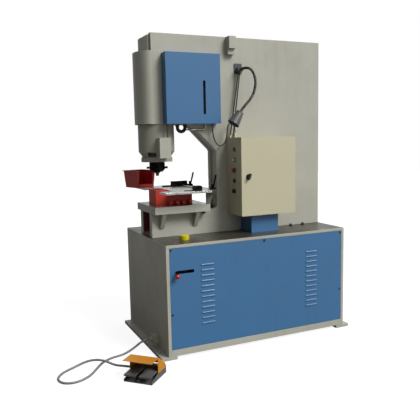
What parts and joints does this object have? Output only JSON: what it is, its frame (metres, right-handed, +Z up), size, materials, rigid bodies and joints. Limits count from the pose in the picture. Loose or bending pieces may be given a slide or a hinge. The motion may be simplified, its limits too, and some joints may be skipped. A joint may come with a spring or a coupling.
{
  "type": "hydraulic punching machine",
  "caption": "Hydraulic punching press: deep C-frame on a louvred cabinet, with ram, die holder, table, scrap bin, control enclosure, lamp and cabled foot switch.",
  "frame": {"origin": "floor level, centred between the anchor holes of the floor strips", "axes": "+Z up; +X along the cabinet, with the throat opening towards -X; the operator's front is -Y"},
  "size_m": [1.9838, 1.0738, 1.963],
  "materials": {
    "skids": "satin paint",
    "cabinet_walls": "satin paint",
    "cabinet_floor": "satin paint",
    "cabinet_top": "satin paint",
    "front_panel": "satin paint",
    "machine_screws": "zinc plated",
    "frame_plate_near": "satin paint",
    "frame_plate_far": "satin paint",
    "frame_webs": "satin paint",
    "slug_chute": "satin paint",
    "cylinder_guard": "satin paint",
    "ram_housing": "satin paint",
    "cylinder_tube": "turned",
    "trip_box": "satin paint",
    "bolster_plate": "satin paint",
    "die_holder": "satin paint",
    "die": "hardened",
    "die_screws": "satin paint",
    "work_table": "ground",
    "gauge_rail": "ground",
    "clamp_foot": "blackened",
    "scrap_bin": "moulded",
    "side_cover": "satin paint",
    "limit_switches": "moulded",
    "cylinder_hoses": "matt",
    "lifting_lugs": "satin paint",
    "control_box": "powder coat",
    "control_gear": "moulded",
    "box_pedestal": "satin paint",
    "button_bezels": "plated",
    "signal_lamp": "clear moulded",
    "lamp_stand": "ribbed",
    "lamp_shade": "satin paint",
    "lamp_bulb": "frosted",
    "lamp_leads": "matt",
    "switch_cable": "matt",
    "oil_tank": "satin paint",
    "pump_motor": "painted casting",
    "hand_valve": "machined casting",
    "foot_base": "painted casting",
    "foot_hood": "satin paint",
    "foot_cable": "matt",
    "ram": "ground",
    "trip_rod": "ground",
    "punch_nut": "blackened",
    "punch": "hardened",
    "control_door": "powder coat",
    "door_lock": "moulded",
    "white_button": "moulded",
    "red_button": "moulded",
    "green_button": "moulded",
    "selector_knob": "moulded",
    "valve_lever": "blackened",
    "filler_cap": "moulded",
    "left_pedal": "satin paint",
    "right_pedal": "satin paint",
    "rear_fence": "blackened",
    "side_stop": "blackened",
    "fence_clamp": "blackened",
    "table_clamp": "blackened"
  },
  "bodies": {
    "machine": {"skids": "skids", "cabinet_walls": "cabinet_walls", "cabinet_floor": "cabinet_floor", "cabinet_top": "cabinet_top", "front_panel": "front_panel", "machine_screws": "machine_screws", "frame_plate_near": "frame_plate_near", "frame_plate_far": "frame_plate_far", "frame_webs": "frame_webs", "slug_chute": "slug_chute", "cylinder_guard": "cylinder_guard", "ram_housing": "ram_housing", "cylinder_tube": "cylinder_tube", "trip_box": "trip_box", "bolster_plate": "bolster_plate", "die_holder": "die_holder", "die": "die", "die_screws": "die_screws", "work_table": "work_table", "gauge_rail": "gauge_rail", "clamp_foot": "clamp_foot", "scrap_bin": "scrap_bin", "side_cover": "side_cover", "limit_switches": "limit_switches", "cylinder_hoses": "cylinder_hoses", "lifting_lugs": "lifting_lugs", "control_box": "control_box", "control_gear": "control_gear", "box_pedestal": "box_pedestal", "button_bezels": "button_bezels", "signal_lamp": "signal_lamp", "lamp_stand": "lamp_stand", "lamp_shade": "lamp_shade", "lamp_bulb": "lamp_bulb", "lamp_leads": "lamp_leads", "switch_cable": "switch_cable", "oil_tank": "oil_tank", "pump_motor": "pump_motor", "hand_valve": "hand_valve", "foot_base": "foot_base", "foot_hood": "foot_hood", "foot_cable": "foot_cable"},
    "press": {"ram": "ram", "punch": "punch", "trip_rod": "trip_rod"},
    "nut": {"punch_nut": "punch_nut"},
    "door": {"control_door": "control_door"},
    "lock": {"door_lock": "door_lock"},
    "white_button": {"white_button": "white_button"},
    "red_button": {"red_button": "red_button"},
    "green_button": {"green_button": "green_button"},
    "selector": {"selector_knob": "selector_knob"},
    "valve_lever": {"valve_lever": "valve_lever"},
    "filler_cap": {"filler_cap": "filler_cap"},
    "left_pedal": {"left_pedal": "left_pedal"},
    "right_pedal": {"right_pedal": "right_pedal"},
    "fence": {"rear_fence": "rear_fence"},
    "fence_clamp": {"fence_clamp": "fence_clamp"},
    "side_stop": {"side_stop": "side_stop"},
    "table_clamp": {"table_clamp": "table_clamp"}
  },
  "joints": [
    {"name": "ram_stroke", "type": "slide", "parent": "machine", "child": "press", "axis": [0, 0, -1], "range_m": [0, 0.086]},
    {"name": "punch_nut_turn", "type": "hinge", "parent": "press", "child": "nut", "pos_m": [-0.54, 0, 1.14], "axis": [0, 0, 1], "continuous": true},
    {"name": "door_swing", "type": "hinge", "parent": "machine", "child": "door", "pos_m": [0.315, -0.2975, 1.07], "axis": [0, 0, 1], "range_deg": [0, 110]},
    {"name": "lock_turn", "type": "hinge", "parent": "door", "child": "lock", "pos_m": [-0.042, -0.315, 1.072], "axis": [0, 1, 0], "range_deg": [0, 90]},
    {"name": "white_button_press", "type": "slide", "parent": "machine", "child": "white_button", "axis": [1, 0, 0], "range_m": [0, 0.004], "stiffness_N_per_m": 700, "springref_m": -0.003},
    {"name": "red_button_press", "type": "slide", "parent": "machine", "child": "red_button", "axis": [1, 0, 0], "range_m": [0, 0.004], "stiffness_N_per_m": 700, "springref_m": -0.003},
    {"name": "green_button_press", "type": "slide", "parent": "machine", "child": "green_button", "axis": [1, 0, 0], "range_m": [0, 0.004], "stiffness_N_per_m": 700, "springref_m": -0.003},
    {"name": "selector_turn", "type": "hinge", "parent": "machine", "child": "selector", "pos_m": [-0.0905, -0.22, 0.977], "axis": [1, 0, 0], "range_deg": [-45, 45]},
    {"name": "valve_lever_swing", "type": "hinge", "parent": "machine", "child": "valve_lever", "pos_m": [-0.526, -0.292, 0.533], "axis": [0, 0, 1], "range_deg": [0, 44]},
    {"name": "filler_cap_turn", "type": "hinge", "parent": "machine", "child": "filler_cap", "pos_m": [-0.467, -0.258, 0.72], "axis": [0, 0, 1], "continuous": true},
    {"name": "left_pedal_press", "type": "hinge", "parent": "machine", "child": "left_pedal", "pos_m": [-0.82244, -0.52844, 0.04], "axis": [0.7071, -0.7071, 0], "range_deg": [0, 8], "stiffness_Nm_per_rad": 2, "springref_deg": -22.92},
    {"name": "right_pedal_press", "type": "hinge", "parent": "machine", "child": "right_pedal", "pos_m": [-0.82244, -0.52844, 0.04], "axis": [0.7071, -0.7071, 0], "range_deg": [0, 8], "stiffness_Nm_per_rad": 2, "springref_deg": -22.92},
    {"name": "fence_slide", "type": "slide", "parent": "machine", "child": "fence", "axis": [0, 1, 0], "range_m": [-0.01, 0.055]},
    {"name": "fence_clamp_turn", "type": "hinge", "parent": "fence", "child": "fence_clamp", "pos_m": [-0.234, 0.19, 1.015], "axis": [0, 0, 1], "range_deg": [-60, 60]},
    {"name": "stop_slide", "type": "slide", "parent": "machine", "child": "side_stop", "axis": [-1, 0, 0], "range_m": [0, 0.05]},
    {"name": "table_clamp_turn", "type": "hinge", "parent": "machine", "child": "table_clamp", "pos_m": [-0.236, -0.19, 1.015], "axis": [0, 0, 1], "range_deg": [-60, 90]}
  ]
}
